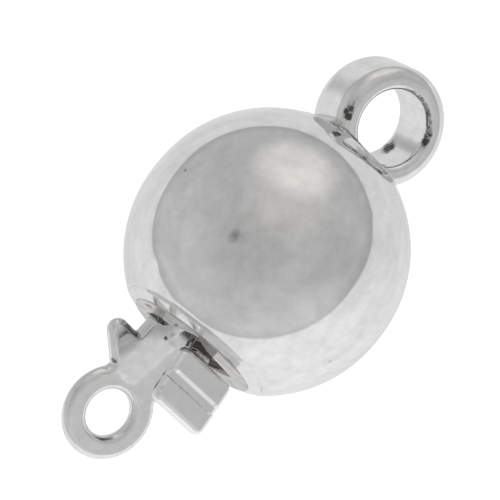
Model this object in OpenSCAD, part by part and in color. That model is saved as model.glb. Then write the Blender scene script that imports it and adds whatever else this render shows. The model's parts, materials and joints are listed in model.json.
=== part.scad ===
// Jewellery clasp: a hollow polished ball with a solder ring at one end and a slot at the other.
// A flat tongue with a loop slides out of the slot.
// A folded spring leaf with a thumb tab lies over the tongue.
//
// The parts are drawn in the clasp's own frame: the ball's centre is the origin, +X points at the
// solder ring, +Z points out of the side with the thumb tab.
// lay_down() then turns the closed clasp to how it lies on a table, on its ball and its ring.

/* [Ball] */
// Radius of the ball around its axis
ball_radius = 5; // [4.9:0.05:5.1]
// Half length of the straight band around the middle, which makes the ball a little long
ball_band = 0.13; // [0.1:0.01:0.16]
// Thickness of the ball's metal
shell_wall = 0.3; // [0.25:0.05:0.4]
// Distance from the centre to the sharp rim of the mouth
rim_distance = 4.12; // [4.08:0.02:4.16]
// Distance from the centre to the flat face of the slot plate
mouth_distance = 4.32; // [4.28:0.02:4.36]
// Distance from the centre to the flat that carries the ring
back_distance = 4.65; // [4.6:0.01:4.68]

/* [Slot plate] */
// Radius of the hole in the mouth that holds the plate
mouth_radius = 2.5; // [2.46:0.02:2.56]
// Thickness of the plate
plate_thickness = 0.3; // [0.25:0.05:0.4]
// Half width of the slot where the tongue's neck passes
slot_low_half = 1.45; // [1.44:0.01:1.5]
// Reach of the slot's upper part towards +Y
slot_high_half = 1.12; // [1.05:0.01:1.2]
// Height of the slot's lower edge
slot_bottom = -1.42; // [-1.5:0.02:-1.4]
// Height of the step in the slot's +Y side
slot_step = -0.2; // [-0.3:0.05:-0.1]
// Height of the slot's upper edge at the +Y side
slot_top_high = 1.62; // [1.54:0.02:1.66]
// Height of the slot's upper edge at the -Y side
slot_top_low = 0.95; // [0.93:0.01:1]

/* [Solder ring] */
// Radius of the disc that closes the ball behind the ring
cap_radius = 2.06; // [2:0.01:2.08]
// Thickness of that disc
cap_thickness = 0.5; // [0.4:0.05:0.6]
// Radius of the low solder bed under the ring
solder_radius = 1.85; // [1.7:0.05:1.9]
// Height of the solder bed
solder_height = 0.05; // [0.03:0.01:0.08]
// Radius of the ring's hole
ring_hole_radius = 1.39; // [1.36:0.01:1.4]
// Outer radius of the ring
ring_outer_radius = 2.22; // [2.2:0.01:2.26]
// Depth of the ring along its hole
ring_depth = 2.2; // [2.1:0.05:2.3]
// Rounding of the ring's outer edges
ring_outer_round = 0.45; // [0.35:0.05:0.5]
// Rounding of the ring's inner edges
ring_inner_round = 0.14; // [0.1:0.01:0.16]
// Lean of the ring's hole towards the ball, in degrees
ring_lean = 3.3; // [0:0.1:5]

/* [Tongue] */
// Thickness of the tongue's plate
tongue_thickness = 0.55; // [0.5:0.05:0.55]
// Slope of the tongue towards the ball, in degrees
tongue_pitch = 8; // [7.5:0.25:8]
// Outer radius of the tongue's loop
loop_outer_radius = 1.75; // [1.7:0.05:1.8]
// Radius of the hole in the tongue's loop
loop_hole_radius = 0.87; // [0.8:0.01:0.95]
// Half width of the tongue across its two ears
ear_half_span = 2.44; // [2.3:0.02:2.5]
// Rounding of the ears
ear_round = 0.4; // [0.3:0.05:0.45]
// Half width of the neck between the ears and the ball
neck_half = 1.4; // [1.3:0.02:1.4]
// Half width of the blade inside the ball
blade_half = 1; // [0.95:0.01:1]
// Thickness of the folded metal and of the leaf
leaf_thickness = 0.4; // [0.35:0.05:0.4]
// Radius of the fold, to the middle of the metal
fold_radius = 0.3; // [0.3:0.02:0.36]

/* [Spring leaf] */
// Half width of the leaf inside the ball
leaf_half = 0.9; // [0.8:0.05:0.95]
// Half width of the leaf where it leaves the slot
leaf_stem_half = 0.55; // [0.5:0.05:0.6]
// Gap between the fold and the leaf
leaf_gap = 0.06; // [0.05:0.01:0.1]

/* [Thumb tab] */
// Height of the tab's top face above the axis at its back edge
tab_back_height = 1.72; // [1.7:0.01:1.76]
// Slope of the tab's top face away from the ball, in degrees
tab_slope = 5.8; // [5:0.2:6.4]
// Thickness of the tab
tab_thickness = 0.5; // [0.45:0.05:0.55]
// Rounding of the tab's back edge
tab_back_round = 0.2; // [0.15:0.01:0.22]
// Rounding of the tab's front edges
tab_front_round = 0.24; // [0.18:0.02:0.24]
// Rounding of the tab's corners, seen from above
tab_corner_round = 0.35; // [0.25:0.05:0.4]
// Depth of the grip channel across the tab
grip_depth = 0.09; // [0.05:0.01:0.1]

/* [Resting pose] */
// Turn of the clasp around its own axis as it lies, in degrees
rest_roll = 5.6; // [4:0.2:7]

/* [Hidden] */
$fn = 96;
silver = "#d9dadc";

rim_radius = sqrt(ball_radius * ball_radius - (rim_distance - ball_band) * (rim_distance - ball_band));
// Clear gap between pieces that are pressed together
seam = 0.04;
// Length by which a cutting shape runs past what it cuts
over = 1;
// Depth by which the solder bed, and the rim's slope, sink into the metal behind them
sink = 0.1;
// Length by which the neck and the blade run into what they grow from
overlap = 0.5;

// The ring's centre, and the depth to which its foot reaches into the disc
ring_centre = [6.16, -0.1, 0.18];
ring_bite = 0.3;
ring_foot = back_distance - ring_bite;

// The point (y, z) at which the slot's slanting upper edge turns nearly level
slot_top_bend = [0.1, 1.07];

// The tongue's own frame starts at the centre of its loop.
// u runs along the plate towards the ball, v across it, n out of its face.
loop_centre = [-7.8, 0, -1.55];
// Each ear starts at its root on the loop and ends in a round tip.
ear_root_high = [1.3, 1.3];
ear_root_low = [1.41, 1.1];
ear_centre = [2.32, ear_half_span - ear_round];
shoulder_u = ear_centre[0] + ear_round;
neck_end_u = 3.7;
fold_u = 10.9;
// Angle by which the fold starts inside the blade
fold_bite = 2;

// The point where a line from the root touches the ear's round tip
function ear_tangent(root) =
    let (reach = norm(ear_centre - root))
    let (turn = atan2(ear_centre[1] - root[1], ear_centre[0] - root[0]) + asin(ear_round / reach))
    root + sqrt(reach * reach - ear_round * ear_round) * [cos(turn), sin(turn)];

// The centre of the fold is the line that the leaf bends about.
fold_x = loop_centre[0] + fold_u * cos(tongue_pitch) - fold_radius * sin(tongue_pitch);
fold_z = loop_centre[2] + fold_u * sin(tongue_pitch) + fold_radius * cos(tongue_pitch);
leaf_z = fold_z + fold_radius;

// The leaf's side view: it runs level out of the fold, then climbs to the front of the tab.
leaf_taper_x = -3.3;
leaf_stem_x = -4.1;
leaf_bend_x = -4.2;
leaf_front_x = -6.45;
leaf_front_z = 1.22;
leaf_slope = atan2(leaf_front_z - leaf_z, leaf_bend_x - leaf_front_x);

// The tab's outline: its back and front ends, and its two sides
tab_back_x = -4.66;
tab_front_x = -6.88;
tab_side_high = 1.17;
tab_side_low = -1.45;
// The tab sits slightly turned on the leaf, about the back of its -Y side.
tab_turn = 2.4;
// The grip: a shallow channel across the tab, with a flat floor between two slanting walls
grip_back_x = -5.51;
grip_floor_back_x = -5.65;
grip_floor_front_x = -5.9;
grip_front_x = -5.98;

// Height of the tab's plain top face at a distance x along the axis
function tab_top(x) = tab_back_height + (tab_back_x - tab_back_round - x) * tan(tab_slope);

// The table's up direction and its long direction, as the clasp's own frame sees them
function up_dir(tilt) = [-sin(tilt), sin(rest_roll) * cos(tilt), cos(rest_roll) * cos(tilt)];
function long_dir(tilt) = [cos(tilt), sin(rest_roll) * sin(tilt), cos(rest_roll) * sin(tilt)];

// How far a disc with rounded edges reaches along a direction: its centre, its hole's axis, its outer
// radius, half its depth and its edge rounding
function disc_reach(centre, axis, radius, half_depth, edge, dir) =
    let (share = abs(axis * dir))
    (radius - edge) * sqrt(1 - share * share) + (half_depth - edge) * share + edge + centre * dir;
function ring_reach(dir) =
    disc_reach(
        ring_centre, [-sin(ring_lean), 0, cos(ring_lean)],
        ring_outer_radius, ring_depth / 2, ring_outer_round, dir
    );
function tongue_reach(dir) =
    disc_reach(
        loop_centre, [-sin(tongue_pitch), 0, cos(tongue_pitch)],
        loop_outer_radius, tongue_thickness / 2, 0, dir
    );
function ball_reach(tilt) = ball_radius + ball_band * sin(tilt);

// The clasp lies on its ball and its ring when both reach equally far down.
function solve_tilt(low, high, steps) =
    let (middle = (low + high) / 2)
    steps == 0 ? middle
    : ring_reach(-up_dir(middle)) < ball_reach(middle) ? solve_tilt(middle, high, steps - 1)
    : solve_tilt(low, middle, steps - 1);
tilt_least = 20;
tilt_most = 40;
halvings = 30;
rest_tilt = solve_tilt(tilt_least, tilt_most, halvings);

// The origin lies on the table under the middle of the resting clasp's box.
row_high = ring_reach(long_dir(rest_tilt));
row_low = tongue_reach(-long_dir(rest_tilt));
rest_shift = [(row_low - row_high) / 2, 0, ball_reach(rest_tilt)];

module lay_down() {
    translate(rest_shift) rotate([rest_roll, rest_tilt, 0]) children();
}

// A rectangle with round corners, from its low corner to its high corner
module round_rect(low, high, r) {
    translate([low[0] + r, low[1]]) square([high[0] - low[0] - 2 * r, high[1] - low[1]]);
    translate([low[0], low[1] + r]) square([high[0] - low[0], high[1] - low[1] - 2 * r]);
    for (x = [low[0] + r, high[0] - r])
        for (y = [low[1] + r, high[1] - r])
            translate([x, y]) circle(r);
}

// Revolves a profile of (radius, distance along the axis) about the clasp's axis
module about_axis() {
    rotate([0, 90, 0]) rotate_extrude() children();
}

// Extrudes a side view of (x, z) between two distances across the clasp
module side_view(y_low, y_high) {
    translate([0, y_high, 0]) rotate([90, 0, 0]) linear_extrude(y_high - y_low) children();
}

// Puts the tongue's own frame in the clasp's frame
module tongue_frame() {
    translate(loop_centre) rotate([0, -tongue_pitch, 0]) children();
}

// Half of the ball's outline: two quarter circles and the straight band between them
module ball_outline(r) {
    for (y = [-ball_band, ball_band])
        translate([0, y]) circle(r);
    translate([-r, -ball_band]) square([2 * r, 2 * ball_band]);
}

module shell_profile() {
    difference() {
        union() {
            intersection() {
                difference() {
                    ball_outline(ball_radius);
                    ball_outline(ball_radius - shell_wall);
                }
                translate([0, -rim_distance]) square([ball_radius + over, rim_distance + back_distance]);
            }
            // The rolled rim slopes in from the sharp edge to the slot plate.
            polygon([
                [mouth_radius, -mouth_distance],
                [rim_radius, -rim_distance],
                [rim_radius - sink, -rim_distance + sink],
                [mouth_radius, -rim_distance + sink]
            ]);
        }
        translate([0, -mouth_distance - over]) square([mouth_radius, over + plate_thickness + sink]);
        translate([0, back_distance - over]) square([cap_radius + seam, 2 * over]);
    }
}

module ball_shell() {
    color(silver) lay_down() about_axis() shell_profile();
}

module end_loop() {
    color(silver) lay_down() {
        about_axis() translate([0, back_distance - cap_thickness]) square([cap_radius, cap_thickness]);
        about_axis() translate([0, back_distance - sink]) square([solder_radius, solder_height + sink]);
        intersection() {
            translate(ring_centre) rotate([0, -ring_lean, 0]) rotate_extrude() intersection() {
                round_rect(
                    [ring_hole_radius - over, -ring_depth / 2],
                    [ring_outer_radius, ring_depth / 2],
                    ring_outer_round
                );
                round_rect(
                    [ring_hole_radius, -ring_depth / 2],
                    [ring_outer_radius + over, ring_depth / 2],
                    ring_inner_round
                );
            }
            translate([ring_foot, -ball_radius, -ball_radius]) cube(2 * ball_radius);
        }
    }
}

module slot_outline() {
    polygon([
        [-slot_low_half, slot_bottom],
        [slot_low_half, slot_bottom],
        [slot_low_half, slot_step],
        [slot_high_half, slot_step],
        [slot_high_half, slot_top_high],
        slot_top_bend,
        [-slot_low_half, slot_top_low]
    ]);
}

module slot_plate() {
    color(silver) lay_down() difference() {
        about_axis() translate([0, -mouth_distance]) square([mouth_radius - seam, plate_thickness]);
        translate([-mouth_distance - over, 0, 0]) rotate([90, 0, 90])
            linear_extrude(plate_thickness + 2 * over) slot_outline();
    }
}

module ear(root) {
    translate(ear_centre) circle(ear_round);
    polygon([
        [0, 0],
        root,
        ear_tangent(root),
        ear_centre,
        [shoulder_u, ear_centre[1]],
        [shoulder_u, 0]
    ]);
}

module tongue_outline() {
    circle(loop_outer_radius);
    ear(ear_root_high);
    mirror([0, 1]) ear(ear_root_low);
    translate([shoulder_u - overlap, -neck_half]) square([neck_end_u - shoulder_u + overlap, 2 * neck_half]);
    translate([neck_end_u - overlap, -blade_half]) square([fold_u - neck_end_u + overlap, 2 * blade_half]);
}

module tongue() {
    color(silver) lay_down() tongue_frame() {
        difference() {
            translate([0, 0, -tongue_thickness / 2]) linear_extrude(tongue_thickness) tongue_outline();
            cylinder(h = 3 * tongue_thickness, r = loop_hole_radius, center = true);
        }
        // The blade's end is thinned to the leaf's metal and folded back over itself.
        translate([fold_u, blade_half, fold_radius]) rotate([90, 0, 0])
            rotate_extrude(start = -90 - fold_bite, angle = 180 + fold_bite - tongue_pitch)
                translate([fold_radius - leaf_thickness / 2, 0]) square([leaf_thickness, 2 * blade_half]);
    }
}

module leaf_side() {
    start_x = fold_x - leaf_gap;
    low = leaf_z - leaf_thickness / 2;
    high = leaf_z + leaf_thickness / 2;
    lift = leaf_thickness / 2 / cos(leaf_slope);
    turn = leaf_thickness / 2 * tan(leaf_slope / 2);
    polygon([
        [start_x, low],
        [start_x, high],
        [leaf_bend_x + turn, high],
        [leaf_front_x, leaf_front_z + lift],
        [leaf_front_x, leaf_front_z - lift],
        [leaf_bend_x - turn, low]
    ]);
    translate([leaf_front_x, leaf_front_z]) circle(leaf_thickness / 2);
}

module leaf_plan() {
    polygon([
        [fold_x + over, -leaf_half],
        [fold_x + over, leaf_half],
        [leaf_taper_x, leaf_half],
        [leaf_stem_x, leaf_stem_half],
        [tab_front_x, leaf_stem_half],
        [tab_front_x, -leaf_stem_half],
        [leaf_stem_x, -leaf_stem_half],
        [leaf_taper_x, -leaf_half]
    ]);
}

module tab_side() {
    back_flat_x = tab_back_x - tab_back_round;
    front_flat_x = tab_front_x + tab_front_round;
    difference() {
        union() {
            polygon([
                [tab_back_x, tab_top(back_flat_x) - tab_back_round],
                [tab_back_x, tab_top(back_flat_x) - tab_thickness],
                [front_flat_x, tab_top(front_flat_x) - tab_thickness],
                [tab_front_x, tab_top(front_flat_x) - tab_thickness + tab_front_round],
                [tab_front_x, tab_top(front_flat_x) - tab_front_round],
                [front_flat_x, tab_top(front_flat_x)],
                [back_flat_x, tab_top(back_flat_x)]
            ]);
            translate([back_flat_x, tab_top(back_flat_x) - tab_back_round]) circle(tab_back_round);
            for (drop = [tab_front_round, tab_thickness - tab_front_round])
                translate([front_flat_x, tab_top(front_flat_x) - drop]) circle(tab_front_round);
        }
        polygon([
            [grip_back_x, tab_top(grip_back_x)],
            [grip_floor_back_x, tab_top(grip_floor_back_x) - grip_depth],
            [grip_floor_front_x, tab_top(grip_floor_front_x) - grip_depth],
            [grip_front_x, tab_top(grip_front_x)],
            [grip_front_x, tab_top(grip_front_x) + over],
            [grip_back_x, tab_top(grip_back_x) + over]
        ]);
    }
}

module spring_leaf() {
    color(silver) lay_down() {
        intersection() {
            side_view(-leaf_half, leaf_half) leaf_side();
            translate([0, 0, -over]) linear_extrude(4 * over) leaf_plan();
        }
        translate([tab_back_x, tab_side_low, 0]) rotate([0, 0, tab_turn])
            translate([-tab_back_x, -tab_side_low, 0]) intersection() {
                side_view(tab_side_low, tab_side_high) tab_side();
                linear_extrude(3 * over)
                    round_rect([tab_front_x, tab_side_low], [tab_back_x, tab_side_high], tab_corner_round);
            }
    }
}

ball_shell();
end_loop();
slot_plate();
tongue();
spring_leaf();
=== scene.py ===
"""Looks of a small silver ball clasp: a hollow polished ball, its solder ring and its looped tongue.

Lengths in the classes are in millimetres, in the clasp's own frame: the ball's centre is the origin,
+X points at the solder ring and +Z out of the side with the thumb tab. AXES and ORIGIN turn them
into metres in the row's frame.
"""
import json
import logging
import math
from dataclasses import dataclass, field
from enum import Enum
from typing import Any, Optional, Sequence

import bmesh
import bpy
import numpy as np
from mathutils import Matrix, Vector
from mathutils.geometry import delaunay_2d_cdt


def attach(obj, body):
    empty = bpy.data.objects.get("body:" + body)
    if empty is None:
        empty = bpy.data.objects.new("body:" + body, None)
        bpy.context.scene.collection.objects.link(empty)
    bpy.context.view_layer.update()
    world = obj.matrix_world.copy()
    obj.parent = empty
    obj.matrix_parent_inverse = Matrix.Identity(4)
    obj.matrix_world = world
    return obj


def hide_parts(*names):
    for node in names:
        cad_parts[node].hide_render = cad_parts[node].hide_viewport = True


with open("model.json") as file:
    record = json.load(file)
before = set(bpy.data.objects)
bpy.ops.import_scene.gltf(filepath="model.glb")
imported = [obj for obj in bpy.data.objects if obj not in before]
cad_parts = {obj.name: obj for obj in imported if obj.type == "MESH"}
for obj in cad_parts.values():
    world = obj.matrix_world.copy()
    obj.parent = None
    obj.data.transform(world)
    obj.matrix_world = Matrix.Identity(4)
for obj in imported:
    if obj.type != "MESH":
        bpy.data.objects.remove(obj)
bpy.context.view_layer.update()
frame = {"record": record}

LOG = logging.getLogger("clasp")
MM = 0.001
# Points nearer to each other than this, in millimetres, become one
MERGE_MM = 1e-4
# Spacing of the points inside a plate's flat faces, so that marks can fade across them
LATTICE_MM = 0.09
# The solder ring's centre, where the record's mount ties the clasp's own frame to the row's
RING_CENTRE = (6.16, -0.1, 0.18)

Point = tuple[float, float, float]
Tree = bpy.types.NodeTree
Metal = bpy.types.Material


def linear_colour(code: str) -> tuple[float, float, float, float]:
    """Turns an sRGB hex colour into linear light.

    Args:
        code: a colour such as "#E8E6E1".

    Returns:
        Red, green, blue in linear light, and an alpha of one.
    """
    parts = np.array([int(code[i:i + 2], 16) for i in (1, 3, 5)]) / 255.0
    light = np.where(parts <= 0.04045, parts / 12.92, ((parts + 0.055) / 1.055) ** 2.4)
    return (float(light[0]), float(light[1]), float(light[2]), 1.0)


def clasp_frame(record: dict[str, Any]) -> tuple[np.ndarray, np.ndarray]:
    """Works the clasp's own frame out from the two joints' axes and the ring's mount.

    Args:
        record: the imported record.

    Returns:
        The own axes as columns in the row's frame, and the ball's centre in metres.
    """
    joints = {joint["name"]: joint for joint in record["behaviour"]["joints"]}
    mounts = {mount["name"]: mount for mount in record["mounts"]}
    along = -np.array(joints["tongue_slide"]["axis"], dtype=float)
    across = -np.array(joints["leaf_press"]["axis"], dtype=float)
    along /= np.linalg.norm(along)
    across -= along * float(across @ along)
    across /= np.linalg.norm(across)
    axes = np.stack([along, across, np.cross(along, across)], axis=1)
    ring = np.array(mounts["solder_ring_hole"]["pos_m"], dtype=float)
    return axes, ring - axes @ (np.array(RING_CENTRE) * MM)


AXES, ORIGIN = clasp_frame(frame["record"])


# Outlines and surfaces as whole arrays


def arc(radius: float, start: float, stop: float, count: int) -> np.ndarray:
    """Points radius * (cos, sin) at evenly spaced angles in degrees.

    Args:
        radius: the circle's radius.
        start: first angle.
        stop: last angle.
        count: number of points.

    Returns:
        An array of count rows of two.
    """
    turn = np.radians(np.linspace(start, stop, count))
    return radius * np.stack([np.cos(turn), np.sin(turn)], axis=1)


def rounded_outline(corners: Sequence[Point], steps: int = 8) -> np.ndarray:
    """A closed outline whose corners are turned into arcs.

    A circle of radius r touches both edges of a corner (a, b, r) at r / tan(half the corner's angle)
    from it, and its middle lies at r / sin(half the angle) along the bisector. Points are complex
    numbers here, so that a turn is a product.

    Args:
        corners: corner points with their rounding radii.
        steps: points on each arc.

    Returns:
        The closed outline without a repeated last point.
    """
    table = np.array(corners, dtype=float)
    here, radius = table[:, 0] + 1j * table[:, 1], table[:, 2]
    back, ahead = (np.roll(here, step) - here for step in (1, -1))
    back, ahead = back / abs(back), ahead / abs(ahead)
    half = abs(np.angle(ahead / back)) / 2
    middle = here + (back + ahead) / abs(back + ahead) * radius / np.sin(half)
    first, last = (here + way * radius / np.tan(half) - middle for way in (back, ahead))
    share = np.linspace(0.0, 1.0, steps)
    points = middle[:, None] + first[:, None] * np.exp(1j * np.angle(last / first)[:, None] * share)
    return np.stack([points.real.ravel(), points.imag.ravel()], axis=1)


def resample(outline: np.ndarray, longest: float, closed: bool = True) -> np.ndarray:
    """Adds points on the straight runs of an outline, so that no step is longer than a limit.

    Args:
        outline: points in order.
        longest: the longest step that may stay.
        closed: whether the last point joins the first.

    Returns:
        The same outline with more points.
    """
    following = np.roll(outline, -1, axis=0)
    ends = outline if closed else outline[:-1]
    following = following if closed else following[:-1]
    span = np.linalg.norm(following - ends, axis=1)
    count = np.maximum(1, np.ceil(span / longest).astype(int))
    owner = np.repeat(np.arange(len(ends)), count)
    first = np.concatenate([[0], np.cumsum(count)[:-1]])
    share = (np.arange(count.sum()) - first[owner]) / count[owner]
    points = ends[owner] + (following[owner] - ends[owner]) * share[:, None]
    return points if closed else np.vstack([points, outline[-1:]])


def outline_normals(outline: np.ndarray) -> np.ndarray:
    """Unit normals of a closed anticlockwise outline: its direction, turned by -90 degrees."""
    along = np.roll(outline, -1, axis=0) - np.roll(outline, 1, axis=0)
    along /= np.maximum(np.linalg.norm(along, axis=1, keepdims=True), 1e-9)
    return np.stack([along[:, 1], -along[:, 0]], axis=1)


def grid_faces(points: np.ndarray, wrap_rows: bool, wrap_columns: bool) -> np.ndarray:
    """Corner numbers of the four-sided faces of a grid of points.

    Args:
        points: the points, as an array of rows by columns by coordinates.
        wrap_rows: whether the last row joins the first.
        wrap_columns: whether the last column joins the first.

    Returns:
        An array of faces, four corners each.
    """
    rows, columns = points.shape[:2]
    row = np.arange(rows if wrap_rows else rows - 1)[:, None]
    column = np.arange(columns if wrap_columns else columns - 1)[None, :]
    next_row = (row + 1) % rows
    next_column = (column + 1) % columns
    faces = [row * columns + column, row * columns + next_column,
             next_row * columns + next_column, next_row * columns + column]
    return np.stack(np.broadcast_arrays(*faces), axis=2).reshape(-1, 4)


def revolve(profile: np.ndarray, segments: int) -> np.ndarray:
    """Turns a profile of (radius, distance along X) about the clasp's axis.

    Args:
        profile: the profile's points.
        segments: number of steps around.

    Returns:
        Points (x, r cos, r sin) as an array of segments by profile points by three.
    """
    turn = np.linspace(0.0, 2 * np.pi, segments, endpoint=False)[:, None]
    radius = profile[None, :, 0]
    along = np.broadcast_to(profile[None, :, 1], (segments, len(profile)))
    return np.stack([along, radius * np.cos(turn), radius * np.sin(turn)], axis=2)


def ripple(points: np.ndarray, height: float, spacing: float, seed: int) -> np.ndarray:
    """A gentle hand-polished unevenness: a sum of eight sine waves in seeded directions.

    Args:
        points: points in millimetres.
        height: the largest value.
        spacing: about how far apart the swells are, in millimetres.
        seed: fixes the directions.

    Returns:
        A value from 0 to height for each point.
    """
    source = np.random.default_rng(seed)
    waves = source.normal(size=(8, 3))
    length = np.linalg.norm(waves, axis=1, keepdims=True)
    waves *= (2 * np.pi / spacing) * source.uniform(0.6, 1.3, size=(8, 1)) / length
    phase = source.uniform(0, 2 * np.pi, size=8)
    total = np.sin(points @ waves.T + phase).mean(axis=-1)
    return height * (0.5 + 0.5 * np.clip(total * 1.6, -1, 1))


def bell(values: np.ndarray, middle: Any, width: Any) -> np.ndarray:
    """A bell curve, exp(-((value - middle) / width)^2): one at its middle, a third at a width from it."""
    return np.exp(-((values - np.array(middle)) / np.array(width)) ** 2)


def fading(distance: np.ndarray, width: float) -> np.ndarray:
    """A share that is one at no distance and falls off as exp(-|distance| / width)."""
    return np.exp(-np.abs(distance) / width)


def add_piece(name: str, node: str, body: str, finishes: Sequence[Metal], points: np.ndarray,
              faces: Sequence[Sequence[int]], painted_shade: np.ndarray) -> bpy.types.Object:
    """Makes a closed, smooth piece, gives it its body and hides the solid that it stands for.

    Args:
        name: the piece's name.
        node: the solid that it stands for, which is hidden.
        body: the body that it moves with.
        finishes: its materials.
        points: its points in millimetres of the clasp's own frame.
        faces: corner numbers of each face.
        painted_shade: how much painted shade and painted dark reflection each point gets, an attribute that
            the finish reads.

    Returns:
        The new object.
    """
    mesh = bpy.data.meshes.new(name)
    placed = points.reshape(-1, 3) @ AXES.T * MM + ORIGIN
    mesh.from_pydata(placed.tolist(), [], [list(face) for face in faces])
    # The painted shade and painted dark reflections go on as a point attribute
    mark = mesh.attributes.new("painted_shade", "FLOAT", "POINT")
    mark.data.foreach_set("value", painted_shade.astype(np.float32).ravel())
    work = bmesh.new()
    work.from_mesh(mesh)
    bmesh.ops.remove_doubles(work, verts=work.verts, dist=MERGE_MM * MM)
    bmesh.ops.dissolve_degenerate(work, edges=work.edges, dist=MERGE_MM * MM * 0.1)
    bmesh.ops.recalc_face_normals(work, faces=work.faces)
    work.to_mesh(mesh)
    work.free()
    mesh.polygons.foreach_set("use_smooth", np.ones(len(mesh.polygons), dtype=bool))
    mesh.update()
    for finish in finishes:
        mesh.materials.append(finish)
    piece = bpy.data.objects.new(name, mesh)
    bpy.context.scene.collection.objects.link(piece)
    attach(piece, body)
    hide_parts(node)
    LOG.info("%s: %d faces, rides on %s", name, len(mesh.polygons), body)
    return piece


# Finishes


def add_node(tree: Tree, kind: str, settings: Optional[dict[Any, Any]] = None,
             links: Optional[dict[Any, Any]] = None) -> bpy.types.Node:
    """Adds a node, sets its properties or socket values, and links its inputs.

    Args:
        tree: the node tree.
        kind: the node's type, without the word ShaderNode.
        settings: properties by name, or socket values by name or number.
        links: outputs of other nodes by the input's name or number.

    Returns:
        The node.
    """
    made = tree.nodes.new("ShaderNode" + kind)
    for key, value in (settings or {}).items():
        if isinstance(key, str) and key in made.bl_rna.properties.keys():
            setattr(made, key, value)
        else:
            made.inputs[key].default_value = value
    for key, socket in (links or {}).items():
        tree.links.new(socket, made.inputs[key])
    return made


def clear_tree(owner: Any) -> Tree:
    """The emptied node tree of a new material or world."""
    owner.use_nodes = True
    owner.node_tree.nodes.clear()
    return owner.node_tree


def add_noise(tree: Tree, spot: Any, size: float, detail: float,
              roughness: float = 0.5, distortion: float = 0.0) -> Any:
    """The output of a noise whose swells are about one size wide."""
    settings = {"Scale": 1 / size, "Detail": detail, "Roughness": roughness, "Distortion": distortion}
    return add_node(tree, "TexNoise", settings, {"Vector": spot}).outputs["Fac"]


def add_range(tree: Tree, value: Any, low: float, high: float, bottom: float = 0.0,
              top: float = 1.0, easing: str = "LINEAR") -> Any:
    """Carries a value that runs from low to high over to bottom to top, held at both ends."""
    limits = {"From Min": low, "From Max": high, "To Min": bottom, "To Max": top}
    settings = {"interpolation_type": easing, **limits}
    return add_node(tree, "MapRange", settings, {"Value": value}).outputs["Result"]


def add_math(tree: Tree, operation: str, *terms: Any) -> Any:
    """The output of a math node. Each term is a number or another node's output."""
    numbers = {index: term for index, term in enumerate(terms) if isinstance(term, float)}
    links = {index: term for index, term in enumerate(terms) if not isinstance(term, float)}
    return add_node(tree, "Math", {"operation": operation, **numbers}, links).outputs["Value"]


def add_tint(tree: Tree, share: Any, base: Any, code: str) -> Any:
    """Blends a base, which is a hex colour or a node's output, towards a hex colour by a share."""
    settings = {"data_type": "RGBA", 7: linear_colour(code)}
    links = {0: share}
    if isinstance(base, str):
        settings[6] = linear_colour(base)
    else:
        links[6] = base
    return add_node(tree, "Mix", settings, links).outputs[2]


def add_bump(tree: Tree, height: Any, strength: float, rise_mm: float,
             normal: Optional[Any] = None) -> Any:
    """Tilts the normal as if the surface rose by rise_mm, or sank where that is below nought."""
    settings = {"Strength": strength, "Distance": abs(rise_mm) * MM, "invert": rise_mm < 0}
    links = {"Height": height} if normal is None else {"Height": height, "Normal": normal}
    return add_node(tree, "Bump", settings, links).outputs["Normal"]


class Polish(Enum):
    """How far a surface was polished: the roughness of its gloss."""

    BUFFED = 0.07
    TUMBLED = 0.11
    RAW = 0.42


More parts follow.
